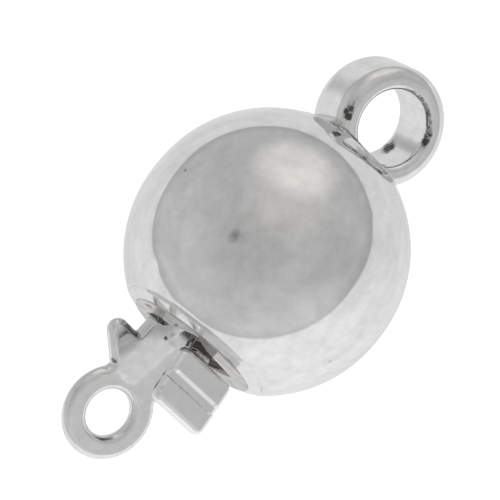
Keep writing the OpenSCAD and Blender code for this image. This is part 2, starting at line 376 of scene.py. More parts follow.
@dataclass(frozen=True)
class SilverPlate:
    """Silver plating over brass, buffed to a mirror.

    It gives clear reflections that wave a little, since the metal under it was polished by hand,
    with hairline scratches, small dings, and painted grey-brown shade and painted dark reflections.
    """

    name: str
    polish: Polish = Polish.BUFFED
    clean: str = "#ECECEC"
    cloudy: str = "#E0E0E0"
    mark: str = "#8F8C88"
    # The grey-brown of the painted shade and painted dark reflections
    shade_tone: str = "#5F5B57"
    swell_mm: float = 1.6
    swell_height_mm: float = 0.0022
    cloud_mm: float = 0.45
    speck_mm: float = 0.22
    scratch_mm: float = 0.05
    scratch_depth_mm: float = 0.0004
    ding_mm: float = 1.1
    ding_depth_mm: float = 0.004
    ding_share: float = 0.28
    glow: float = 0.0
    seed: float = 0.0

    def dings(self, tree: Tree, spot: Any) -> Any:
        """Small shallow pits around a few of the points of a cell pattern.

        Args:
            tree: the material's node tree.
            spot: the output that gives the place on the object.

        Returns:
            The output that is one in the middle of a pit.
        """
        cells = add_node(tree, "TexVoronoi", {"Scale": 1 / (self.ding_mm * MM)}, {"Vector": spot})
        pit = add_range(tree, cells.outputs["Distance"], 0.0, 0.09, 1.0, 0.0)
        tone = add_node(tree, "SeparateColor", None, {"Color": cells.outputs["Color"]})
        few = add_math(tree, "GREATER_THAN", tone.outputs["Red"], 1 - self.ding_share)
        return add_math(tree, "MULTIPLY", pit, few)

    def make(self) -> Metal:
        """Builds the node material.

        Returns:
            The material.
        """
        material = bpy.data.materials.new(self.name)
        tree = clear_tree(material)
        where = add_node(tree, "TexCoord").outputs["Object"]
        shift = {"Location": (self.seed, self.seed * 0.7, 0.0)}
        spot = add_node(tree, "Mapping", shift, {"Vector": where}).outputs["Vector"]
        # Hairline scratches: noise stretched thirty times along one slanting direction
        stretch = {"Rotation": (0.4, 0.9, 0.7), "Scale": (1.0, 0.03, 1.0)}
        slant = add_node(tree, "Mapping", stretch, {"Vector": spot}).outputs["Vector"]
        scratch = add_range(tree, add_noise(tree, slant, self.scratch_mm * MM, 2.0), 0.66, 0.76)
        # Painted shade and painted dark reflections, laid on the points by each piece and broken up by fine
        # specks
        painted_shade = add_node(tree, "Attribute", {"attribute_name": "painted_shade"}).outputs["Fac"]
        speck = add_noise(tree, spot, self.speck_mm * MM, 4.0, 0.7)
        shaded = add_range(tree, add_math(tree, "MULTIPLY", painted_shade, speck), 0.24, 0.42)
        ding = self.dings(tree, spot)
        cloud = add_noise(tree, spot, self.cloud_mm * MM, 6.0, 0.66, 0.15)
        metal = add_tint(tree, add_range(tree, cloud, 0.36, 0.66), self.clean, self.cloudy)
        colour = add_tint(tree, shaded, add_tint(tree, ding, metal, self.mark), self.shade_tone)
        # The gloss is a little blurred by clouds and scratches, and blurred more under the painted shade
        gloss = add_range(tree, cloud, 0.35, 0.75, self.polish.value * 0.7, self.polish.value * 1.5)
        shade_dulling = add_math(tree, "MULTIPLY_ADD", shaded, 0.45, gloss)
        rough = add_math(tree, "MULTIPLY_ADD", scratch, 0.12, shade_dulling)
        swell = add_noise(tree, spot, self.swell_mm * MM, 1.5)
        normal = add_bump(tree, swell, 1.0, self.swell_height_mm)
        normal = add_bump(tree, scratch, 0.35, -self.scratch_depth_mm, normal)
        normal = add_bump(tree, ding, 1.0, -self.ding_depth_mm, normal)
        inputs = {"Base Color": colour, "Emission Color": colour, "Roughness": rough, "Normal": normal}
        shader = add_node(tree, "BsdfPrincipled", {"Metallic": 1.0, "Emission Strength": self.glow}, inputs)
        add_node(tree, "OutputMaterial", None, {"Surface": shader.outputs["BSDF"]})
        return material


class Finish(Enum):
    """The clasp's finishes, each under a comment on what it gives the eye."""

    # A clear, slowly swimming mirror, almost white, with a few pinprick dings
    BALL = SilverPlate("buffed_silver_ball")
    # The same mirror on a filed ring: shorter swells, so its reflections bend more
    RING = SilverPlate("buffed_silver_ring", swell_mm=1.1, seed=0.013)
    # A greyer, cloudy mirror that sets the plate off from the bright rim around it
    PLATE = SilverPlate("tumbled_silver_plate", Polish.TUMBLED, "#D0CECC", "#9A9896",
                        swell_mm=0.5, swell_height_mm=0.004, seed=0.027)
    # A slightly blurred mirror in long swells, as on a strip that was tumbled after stamping
    TONGUE = SilverPlate("tumbled_silver_tongue", Polish.TUMBLED, swell_mm=2.2, seed=0.041)
    # The brightest metal, without dings: the face that the thumb keeps rubbed
    TAB = SilverPlate("tumbled_silver_tab", Polish.TUMBLED, "#F6F6F6", "#EEEEEE",
                      swell_mm=1.0, ding_share=0.0, seed=0.059)
    # Dull, blotched metal with a faint glow, for the light that bounces about in the hollow
    INSIDE = SilverPlate("raw_brass_inside", Polish.RAW, "#C6C5C3", "#686765",
                         cloud_mm=0.35, glow=0.28, seed=0.083)


# The pieces


@dataclass(frozen=True)
class Dent:
    """A small round dent: its middle, its depth and its width."""

    middle: Point
    depth: float
    width: float


@dataclass
class Ball:
    """The hollow ball with its rolled rim, and the slotted plate in its mouth."""

    outside: Metal
    inside: Metal
    plate_metal: Metal
    radius: float = 4.992
    band: float = 0.13
    wall: float = 0.3
    rim_x: float = -4.12
    mouth_x: float = -4.32
    mouth_radius: float = 2.5
    back_x: float = 4.65
    back_hole: float = 2.068
    # The ends of the wall's inner face, and of the two short straight runs that lead to it
    inner_ends: tuple[float, float] = (-3.98, 4.33)
    mouth_end: float = -4.06
    hole_end: float = 4.4
    segments: int = 320
    crumple_depth: float = 0.018
    plate_radius: float = 2.494
    plate_thickness: float = 0.3
    slot_edge: float = 0.12
    plate_edge: float = 0.02
    seam: float = 0.09
    slot: tuple[Point, ...] = (
        (1.45, -1.42, 0.12), (1.45, -0.2, 0.05), (1.12, -0.2, 0.05), (1.12, 1.62, 0.12),
        (0.1, 1.07, 0.3), (-1.45, 0.95, 0.1), (-1.45, -1.42, 0.12))
    dents: tuple[Dent, ...] = (
        Dent((-1.6, 4.6, 0.9), 0.035, 0.22), Dent((2.9, -2.6, 3.1), 0.02, 0.3),
        Dent((-3.3, 3.6, 0.6), 0.010, 0.3), Dent((-4.2, -2.25, 1.75), 0.045, 0.3),
        Dent((-4.25, -0.05, 2.6), 0.03, 0.22), Dent((0.7, 1.5, 4.7), 0.010, 0.16),
        Dent((2.4, 0.6, 4.3), 0.010, 0.2), Dent((3.9, -2.9, 0.8), 0.03, 0.25))

    def side(self, radius: float, low: float, high: float, count: int) -> np.ndarray:
        """The ball's outline: two half circles, each shifted outwards along the axis by the band.

        Args:
            radius: the circles' radius.
            low: first distance along the axis.
            high: last distance along the axis.
            count: number of points.

        Returns:
            Rows of (radius, distance along the axis).
        """
        first, last = (math.asin((x + math.copysign(self.band, -x)) / radius) for x in (low, high))
        turn = np.linspace(first, last, count)
        along = radius * np.sin(turn)
        # The shift swings over smoothly at the middle, so no edge shows there
        return np.stack([radius * np.cos(turn), along + self.band * np.tanh(along / 0.9)], axis=1)

    def profile(self, rim_radius: float) -> np.ndarray:
        """The wall's closed profile: outside, hole for the ring's disc, inside, mouth and rolled lip.

        Args:
            rim_radius: the ball's radius where the lip begins.

        Returns:
            Rows of (radius, distance along the axis).
        """
        # A seam, as deep as half its width, parts the rolled lip from the ball
        outer = self.side(self.radius, self.rim_x + 0.6 * self.seam, self.back_x - 0.03, 190)
        inner = self.side(self.radius - self.wall, self.inner_ends[1], self.inner_ends[0], 90)
        lip = rounded_outline([
            (rim_radius + 0.3, self.rim_x + 0.3, 0.001),
            (rim_radius - 0.56 * self.seam, self.rim_x + 0.83 * self.seam, 0.006),
            (rim_radius - 0.86 * self.seam, self.rim_x - 0.52 * self.seam, 0.02),
            (self.mouth_radius + 0.003, self.mouth_x + 0.002, 0.03),
            (self.mouth_radius, self.mouth_end + 0.01, 0.001)], 12)[12:-12]
        back = np.array([
            [self.back_hole + 0.105, self.back_x - 0.012], [self.back_hole + 0.09, self.back_x],
            [self.back_hole + 0.02, self.back_x], [self.back_hole, self.back_x - 0.02],
            [self.back_hole, self.hole_end]])
        return np.vstack([outer, back, inner, [[self.mouth_radius, self.mouth_end]], lip[::-1]])

    def shell(self) -> None:
        """Builds the ball's wall: the profile turned about the axis, a little uneven."""
        rim_radius = self.side(self.radius, self.rim_x, 0.0, 2)[0, 0]
        profile = self.profile(rim_radius)
        points = revolve(profile, self.segments)
        outward = points - np.clip(points * [1, 0, 0], -self.band, self.band)
        outward /= np.linalg.norm(outward, axis=2, keepdims=True)
        points = points - outward * self.pressed_in(points)[:, :, None]
        # Painted shade, broken up around the axis: at the back hole where the disc sits, at the lip's inner
        # end by the plate and in the seam under the rolled lip
        turn = np.linspace(0.0, 2 * np.pi, self.segments, endpoint=False)[:, None]
        patchy = 0.75 + 0.35 * np.sin(5 * turn + 1.0) + 0.3 * np.sin(11 * turn + 2.0)
        patchy = np.clip(patchy + 0.25 * np.sin(29 * turn), 0, 1)
        near_back = fading(profile[:, 1] - (self.back_x - 0.03), 0.05)
        near_mouth = fading(profile[:, 1] - (self.mouth_x + 0.01), 0.02)
        near_seam = fading(np.hypot(profile[:, 0] - rim_radius, profile[:, 1] - self.rim_x), 0.08)
        painted_shade = 0.45 * near_back + patchy * (0.25 * near_mouth + 0.62 * near_seam)
        faces = grid_faces(points, True, True)
        piece = add_piece("ball_skin", "ball_shell", "ball", [self.outside, self.inside], points, faces, painted_shade)
        heart = np.array([face.center for face in piece.data.polygons]) - ORIGIN
        way = np.array([face.normal for face in piece.data.polygons])
        away = np.linalg.norm(heart, axis=1)
        dull = ((heart * way).sum(axis=1) < 0) & (away < (self.radius - 0.1) * MM)
        piece.data.polygons.foreach_set("material_index", dull.astype(np.int32))

    def pressed_in(self, points: np.ndarray) -> np.ndarray:
        """How far the wall is pressed in: a soft swell all over, a crumpled lip and small dents.

        Args:
            points: the wall's points.

        Returns:
            A depth for each point, in millimetres.
        """
        depth = ripple(points, height=0.010, spacing=4.2, seed=11)
        depth += ripple(points, height=0.0022, spacing=1.5, seed=12)
        # The lip was rolled in by hand, which left it crumpled
        turn = np.arctan2(points[..., 1], points[..., 2])
        crumple = 1.0 + np.sin(4 * turn + 0.6) + 0.8 * np.sin(7 * turn + 2.1) + 0.6 * np.sin(11 * turn + 4.0)
        on_lip = bell(points[..., 0], (self.rim_x + self.mouth_x) / 2, 0.13)
        depth += self.crumple_depth * np.maximum(crumple, 0) * on_lip
        for dent in self.dents:
            gap = np.linalg.norm(points - np.array(dent.middle), axis=-1)
            depth += dent.depth * bell(gap, 0.0, dent.width)
        return depth

    def plate(self) -> None:
        """Builds the slotted plate: rays from the middle run from the slot's edge to the disc's."""
        inner = resample(rounded_outline(self.slot, 8), 0.05)
        turn = np.arctan2(inner[:, 1], inner[:, 0])
        order = np.argsort(turn)
        inner, turn = inner[order], turn[order]
        outer = self.plate_radius * np.stack([np.cos(turn), np.sin(turn)], axis=1)
        edge, outer_edge = self.slot_edge, self.plate_edge
        bend = np.radians(np.linspace(0, 90, 7))
        rise, fall = 1 - np.sin(bend), 1 - np.cos(bend)
        share = np.linspace(0, 1, 14)[1:-1]
        reach = np.linalg.norm(outer - inner, axis=1)[:, None]
        front = np.concatenate([
            np.broadcast_to(edge * rise[::-1], (len(turn), len(bend))),
            edge + (reach - edge - outer_edge) * share[None, :],
            reach - outer_edge * rise[None, :]], axis=1)
        drop = np.concatenate([edge * fall[::-1], np.zeros(len(share)), outer_edge * fall])
        depth = np.concatenate([drop, [self.plate_thickness, self.plate_thickness]])
        along = np.concatenate([front, reach, np.zeros_like(reach)], axis=1)
        way = (outer - inner) / reach
        flat = inner[:, None, :] + way[:, None, :] * along[:, :, None]
        depth = np.broadcast_to(depth[None, :], along.shape)
        points = np.stack([self.mouth_x + depth, flat[..., 0], flat[..., 1]], axis=2)
        # Painted shade on the plate: at its rim by the lip, along the slot's edge and in a patch beside the
        # slot
        rim = fading(self.plate_radius - np.linalg.norm(flat, axis=2), 0.05)
        slot_side_shade = bell(flat[..., 0], 2.14, 0.16) * bell(flat[..., 1], -0.39, 0.35)
        painted_shade = 0.3 * rim + 0.4 * fading(along, 0.06) + 0.9 * slot_side_shade
        faces = grid_faces(points, True, True)
        add_piece("slot_plate_skin", "slot_plate", "ball", [self.plate_metal], points, faces, painted_shade)


@dataclass(frozen=True)
class ReflectionPatch:
    """A painted dark reflection on the ring: its middle, its size along the axes and its strength."""

    middle: Point
    size: Point
    amount: float


@dataclass(frozen=True)
class DarkRimBand:
    """A painted dark band at the hole's front rim: a painted reflection of something dark in the rounded
    inner edge.

    out and height are its distances from the hole's axis and from the ring's middle, out_width and
    height_width how fast it fades, and turn and run the middle and the half length in degrees.
    """

    amount: float = 0.74
    out: float = 1.49
    height: float = 1.00
    out_width: float = 0.12
    height_width: float = 0.19
    turn: float = -12.0
    run: float = 74.0


@dataclass
class SolderRing:
    """The thick ring soldered to the disc that closes the ball."""

    metal: Metal
    hole: float = 1.392
    outer: float = 2.216
    half_depth: float = 1.098
    outer_round: float = 0.45
    inner_round: float = 0.22
    lean: float = 3.3
    foot_x: float = 4.36
    disc_x: float = 4.65
    disc_radius: float = 2.06
    disc_back: float = 4.16
    bed_radius: float = 1.85
    bed_height: float = 0.05
    # The rectangle on which the ring stands: its middle and its half sizes along Y and Z
    foot_middle: tuple[float, float] = (-0.1, 0.15)
    foot_half: tuple[float, float] = (1.60, 1.06)
    fillet: float = 0.16
    ring_steps: int = 288
    disc_steps: int = 240
    dark_rim: DarkRimBand = field(default_factory=DarkRimBand)
    reflection_patches: tuple[ReflectionPatch, ...] = (
        ReflectionPatch((5.40, 1.76, 1.14), (0.26, 0.20, 0.40), 0.88),
        ReflectionPatch((5.18, 1.62, 1.14), (0.15, 0.15, 0.40), 0.80),
        ReflectionPatch((5.92, 1.82, 1.16), (0.38, 0.14, 0.30), 0.52),
        ReflectionPatch((5.90, -1.46, -0.38), (0.55, 0.34, 0.50), 0.84),
        ReflectionPatch((6.70, -1.42, 1.22), (0.38, 0.20, 0.25), 0.60))

    def directions(self) -> tuple[np.ndarray, np.ndarray]:
        """The leaning ring's own level direction, and the axis of its hole."""
        lean = math.radians(self.lean)
        level = np.array([math.cos(lean), 0.0, math.sin(lean)])
        return level, np.array([-math.sin(lean), 0.0, math.cos(lean)])

    def ring_points(self) -> np.ndarray:
        """The ring: a rounded section carried around the leaning hole's axis.

        Returns:
            Points as an array of steps around by section points by three.
        """
        big, small, deep = self.outer_round, self.inner_round, self.half_depth
        corners = [(self.hole, -deep, small), (self.outer, -deep, big),
                   (self.outer, deep, big), (self.hole, deep, small)]
        section = resample(rounded_outline(corners, 16), 0.08)
        turn = np.linspace(0, 2 * np.pi, self.ring_steps, endpoint=False)[:, None]
        level, hole_axis = self.directions()
        side = np.array([0.0, 1.0, 0.0])
        radial = np.cos(turn)[..., None] * level + np.sin(turn)[..., None] * side
        points = np.array(RING_CENTRE) + section[None, :, 0, None] * radial
        points = points + section[None, :, 1, None] * hole_axis
        points[..., 0] = np.maximum(points[..., 0], self.foot_x)
        return points

    def ring_shade(self, points: np.ndarray) -> np.ndarray:
        """How much painted shade the ring gets: at its foot and the bottom of its hole, and painted dark
        reflections in the band at the hole's front rim and in the patches.

        Args:
            points: the ring's points.

        Returns:
            A share for each point, from 0 to 1.
        """
        offset = points - np.array(RING_CENTRE)
        height = points[..., 0] - self.disc_x
        # Painted shade at the ring's foot on the disc, and inside the hole near the disc
        inner = fading(np.linalg.norm(offset, axis=2) - 1.5, 0.25)
        painted_shade = 0.75 * fading(np.maximum(height - 0.10, 0), 0.10)
        painted_shade = painted_shade + 0.55 * inner * fading(np.maximum(height - 0.15, 0), 0.25)
        level, hole_axis = self.directions()
        along = offset @ hole_axis
        reach = np.sqrt(np.maximum((offset ** 2).sum(axis=-1) - along ** 2, 0))
        turn = np.degrees(np.arctan2(offset[..., 1], offset @ level))
        dark_rim = self.dark_rim
        # A painted dark reflection in a band at the hole's front rim
        band = bell(reach, dark_rim.out, dark_rim.out_width) * bell(along, dark_rim.height, dark_rim.height_width)
        painted_shade = painted_shade + dark_rim.amount * band * np.exp(-((turn - dark_rim.turn) / dark_rim.run) ** 4)
        # Painted dark reflections on the ring's outer side
        for mark in self.reflection_patches:
            painted_shade = painted_shade + mark.amount * bell(points, mark.middle, mark.size).prod(axis=2)
        return np.clip(painted_shade, 0, 1)

    def disc_points(self) -> np.ndarray:
        """The disc: a low bed of solder that rises in a fillet at the ring's foot.

        The face's height is bed + fillet * exp(-gap / 0.1), where gap is how far a point lies
        outside the rectangle on which the ring stands.

        Returns:
            Points as an array of steps around by points out from the middle by three.
        """
        turn = np.linspace(0, 2 * np.pi, self.disc_steps, endpoint=False)[:, None]
        out = np.linspace(0, self.disc_radius - 0.03, 60)[None, :]
        across, up = out * np.cos(turn), out * np.sin(turn)
        gap_y, gap_z = (
            np.maximum(np.abs(way - middle) - half, 0)
            for way, middle, half in zip((across, up), self.foot_middle, self.foot_half))
        fillet = self.fillet * fading(np.hypot(gap_y, gap_z), 0.10)
        bed = self.bed_height / (1 + np.exp((out - self.bed_radius) / 0.03))
        face = np.stack([self.disc_x + bed + fillet * (out < 2.0), across, up], axis=2)
        edge = np.array([
            [self.disc_radius - 0.008, self.disc_x - 0.008], [self.disc_radius, self.disc_x - 0.03],
            [self.disc_radius, self.disc_back], [0.0, self.disc_back]])
        return np.concatenate([face, revolve(edge, self.disc_steps)], axis=1)

    def build(self) -> None:
        """Builds the ring and the disc."""
        ring = self.ring_points()
        faces = grid_faces(ring, True, True)
        add_piece("solder_ring", "end_loop", "ball", [self.metal], ring, faces, self.ring_shade(ring))
        disc = self.disc_points()
        # Painted shade on the disc: where its fillet rises to the ring's foot, and at its edge by the ball's
        # back hole
        radial = np.hypot(disc[..., 1], disc[..., 2])
        rise = np.clip((disc[..., 0] - self.disc_x - self.bed_height) / 0.12, 0, 1)
        shade_dulling = 0.8 * np.clip(rise + fading(self.disc_radius - radial, 0.05), 0, 1)
        faces = grid_faces(disc, True, False)
        add_piece("solder_disc", "end_loop", "ball", [self.metal], disc, faces, shade_dulling)


def inside_outline(points: np.ndarray, loops: Sequence[np.ndarray]) -> np.ndarray:
    """Tells which points lie in an outline but in no hole: a ray from them crosses an odd number of edges.

    Args:
        points: points to test.
        loops: the outline and its holes.

    Returns:
        True for each point that is inside.
    """
    x, y = points[:, 0, None], points[:, 1, None]
    crossed = np.zeros(len(points), dtype=int)
    for loop in loops:
        ahead = np.roll(loop, -1, axis=0)
        crosses = (loop[None, :, 1] > y) != (ahead[None, :, 1] > y)
        rise = np.where(ahead[:, 1] == loop[:, 1], 1e-12, ahead[:, 1] - loop[:, 1])
        reach = (ahead[:, 0] - loop[:, 0]) * (y - loop[:, 1]) / rise + loop[:, 0]
        crossed += (crosses & (x < reach)).sum(axis=1)
    return crossed % 2 == 1


def rounded_plate(outline: np.ndarray, holes: Sequence[np.ndarray], thickness: float, edge: float,
                  hole_edge: float) -> tuple[np.ndarray, list[tuple[int, ...]]]:
    """A flat plate whose edges are rounded by quarter circles.

    At the angle a, a row of the edge lies edge * (1 - cos a) inside the outline and
    edge * (1 - sin a) below the face. Triangles over a lattice of points fill the flat faces.

    Args:
        outline: the outer outline, anticlockwise.
        holes: the holes' outlines, clockwise.
        thickness: the plate's thickness.
        edge: rounding of the outer edges.
        hole_edge: rounding of the holes' edges.

    Returns:
        Points (u, v, n) and the faces' corner numbers.
    """
    points: list[np.ndarray] = []
    faces: list[tuple[int, ...]] = []
    loops: list[np.ndarray] = []
    start = 0
    bend = np.radians(np.linspace(90, 0, 9))
    for loop, rounding in [(outline, edge)] + [(hole, hole_edge) for hole in holes]:
        inset = np.concatenate([[rounding + 0.03], rounding * (1 - np.cos(bend))])
        drop = np.concatenate([[0.0], rounding * (1 - np.sin(bend))])
        inset = np.concatenate([inset, inset[::-1]])
        height = np.concatenate([thickness / 2 - drop, -(thickness / 2 - drop)[::-1]])
        flat = loop[None, :, :] - outline_normals(loop)[None, :, :] * inset[:, None, None]
        level = np.broadcast_to(height[:, None, None], flat.shape[:2] + (1,))
        block = np.concatenate([flat, level], axis=2)
        faces += [tuple(face + start) for face in grid_faces(block, False, True)]
        points.append(block.reshape(-1, 3))
        loops.append(block[0, :, :2])
        start += block.shape[0] * block.shape[1]
    sizes = [len(loop) for loop in loops]
    first = np.concatenate([[0], np.cumsum(sizes)[:-1]])
    edges = [(int(base + i), int(base + (i + 1) % size))
             for base, size in zip(first, sizes) for i in range(size)]
    low, high = loops[0].min(axis=0), loops[0].max(axis=0)
    columns, rows = (np.arange(low[i], high[i], LATTICE_MM) for i in (0, 1))
    lattice = np.stack(np.meshgrid(columns, rows), axis=2).reshape(-1, 2)
    flat = np.vstack(loops + [lattice[inside_outline(lattice, loops)]])
    corners, _, cells, *_ = delaunay_2d_cdt([Vector(point) for point in flat], edges, [], 0, 1e-6)
    spots = np.array([tuple(corner) for corner in corners])
    middles = np.array([spots[list(cell)].mean(axis=0) for cell in cells])
    kept = [cell for cell, keep in zip(cells, inside_outline(middles, loops)) if keep]
    for height in (thickness / 2, -thickness / 2):
        faces += [tuple(int(corner) + start for corner in cell) for cell in kept]
        points.append(np.column_stack([spots, np.full(len(spots), height)]))
        start += len(spots)
    return np.vstack(points), faces


def strip_section(half_width: np.ndarray, thickness: float, rounding: float) -> np.ndarray:
    """Sections of a flat strip: rounded rectangles of one thickness and many widths.

    Args:
        half_width: the half width at each step.
        thickness: the strip's thickness.
        rounding: rounding of its edges.

    Returns:
        Points (across, up) as an array of steps by section points by two.
    """
    half = thickness / 2
    signs = ((1, -1), (1, 1), (-1, 1), (-1, -1))
    corner = rounded_outline([(side, up * half, rounding) for side, up in signs], 7)
    wide = half_width[:, None] - 1.0
    across = corner[None, :, 0] + np.sign(corner[None, :, 0]) * wide
    return np.stack([across, np.broadcast_to(corner[None, :, 1], across.shape)], axis=2)


def carry(path: np.ndarray, normals: np.ndarray, section: np.ndarray) -> tuple[np.ndarray, np.ndarray]:
    """Carries sections along a path in the side view, and closes both ends on their middles.

    Args:
        path: points (x, z).
        normals: the direction of the section's height at each of them; its width lies along Y.
        section: the section at each of them.

    Returns:
        Points as steps by section points by three, and the faces.
    """
    spot = path[:, None, :] + normals[:, None, :] * section[:, :, 1, None]
    points = np.stack([spot[..., 0], section[:, :, 0], spot[..., 1]], axis=2)
    first, last = (np.broadcast_to(points[end].mean(axis=0), points[end].shape)[None] for end in (0, -1))
    closed = np.concatenate([first, points, last])
    return closed, grid_faces(closed, False, True)


@dataclass
class Tongue:
    """The flat tongue: loop, ears, neck, blade and the fold at its inner end."""

    metal: Metal
    loop_centre: Point = (-7.8, 0.0, -1.55)
    pitch: float = 8.0
    thickness: float = 0.546
    edge: float = 0.26
    hole_edge: float = 0.25
    loop_radius: float = 1.746
    hole_radius: float = 0.873
    root_high: tuple[float, float] = (1.3, 1.3)
    root_low: tuple[float, float] = (1.41, 1.1)
    ear_centre: tuple[float, float] = (2.32, 2.04)
    ear_round: float = 0.397
    neck_half: float = 1.398
    neck_end: float = 3.7
    blade_half: float = 0.998
    fold_u: float = 10.9
    fold_radius: float = 0.3
    fold_thickness: float = 0.396

    def ear_corner(self, root: tuple[float, float]) -> tuple[float, float]:
        """Where the ear's slanting edge would meet its shoulder, if the tip weren't round.

        Args:
            root: where the ear leaves the loop.

        Returns:
            The corner (u, v).
        """
        du, dv = self.ear_centre[0] - root[0], self.ear_centre[1] - root[1]
        turn = math.atan2(dv, du) + math.asin(self.ear_round / math.hypot(du, dv))
        shoulder = self.ear_centre[0] + self.ear_round
        return shoulder, root[1] + (shoulder - root[0]) * math.tan(turn)

    def outline(self) -> np.ndarray:
        """The tongue's outline, anticlockwise: the loop's arc, then ear, neck, blade and back.

        Returns:
            Points (u, v).
        """
        high, low = self.ear_corner(self.root_high), self.ear_corner(self.root_low)
        high_turn = math.degrees(math.atan2(self.root_high[1], self.root_high[0]))
        low_turn = 360 - math.degrees(math.atan2(self.root_low[1], self.root_low[0]))
        loop = arc(self.loop_radius, high_turn + 5, low_turn - 5, 200)
        # The two outer corners lie on the loop, and only give the first and last arc a direction
        leave, arrive = math.radians(low_turn - 4), math.radians(high_turn + 4)
        corners = rounded_outline([
            (self.loop_radius * math.cos(leave), self.loop_radius * math.sin(leave), 0.001),
            (self.root_low[0], -self.root_low[1], 0.06),
            (low[0], -low[1], self.ear_round),
            (low[0], -self.neck_half, 0.08),
            (self.neck_end, -self.neck_half, 0.29),
            (self.neck_end, -self.blade_half, 0.06),
            (self.fold_u, -self.blade_half, 0.3),
            (self.fold_u, self.blade_half, 0.3),
            (self.neck_end, self.blade_half, 0.06),
            (self.neck_end, self.neck_half, 0.29),
            (high[0], self.neck_half, 0.08),
            (high[0], high[1], self.ear_round),
            (self.root_high[0], self.root_high[1], 0.06),
            (self.loop_radius * math.cos(arrive), self.loop_radius * math.sin(arrive), 0.001)], 14)[14:-14]
        return resample(np.vstack([corners, loop]), 0.06)

    def own_frame(self, points: np.ndarray) -> np.ndarray:
        """Turns the tongue's (u, v, n) into the clasp's (x, y, z)."""
        cos, sin = math.cos(math.radians(self.pitch)), math.sin(math.radians(self.pitch))
        turn = np.array([[cos, 0, -sin], [0, 1, 0], [sin, 0, cos]])
        return points.reshape(-1, 3) @ turn.T + np.array(self.loop_centre)

    def build(self) -> None:
        """Builds the plate and the fold."""
        hole = arc(self.hole_radius, 360, 0, 145)[:-1]
        points, faces = rounded_plate(self.outline(), [hole], self.thickness, self.edge, self.hole_edge)
        # Painted shade in the two inner corners of the upper ear, and a painted dent on the neck: a dark spot
        # where the plate is flat
        ear, neck = (np.linalg.norm(points[:, :2] - spot, axis=1) for spot in ([1.45, 1.35], [2.75, 1.5]))
        dent = bell(points[:, 0], 3.26, 0.10) * bell(points[:, 1], 0.51, 0.17)
        painted_shade = 0.8 * bell(np.minimum(ear, neck), 0.0, 0.16) + 0.95 * dent
        add_piece("tongue_plate", "tongue", "tongue", [self.metal], self.own_frame(points), faces, painted_shade)
        turn = np.radians(np.linspace(-100, 90 - self.pitch, 48))
        normals = np.stack([np.cos(turn), np.sin(turn)], axis=1)
        path = np.array([self.fold_u, self.fold_radius]) + self.fold_radius * normals
        section = strip_section(np.full(len(turn), self.blade_half - 0.01), self.fold_thickness, 0.08)
        bent, faces = carry(path, normals, section)
        clean = np.zeros(bent.shape[:2])
        add_piece("tongue_fold", "tongue", "tongue", [self.metal], self.own_frame(bent), faces, clean)

    def fold_centre(self) -> np.ndarray:
        """The centre of the fold in the clasp's frame."""
        return self.own_frame(np.array([[self.fold_u, 0.0, self.fold_radius]]))[0]


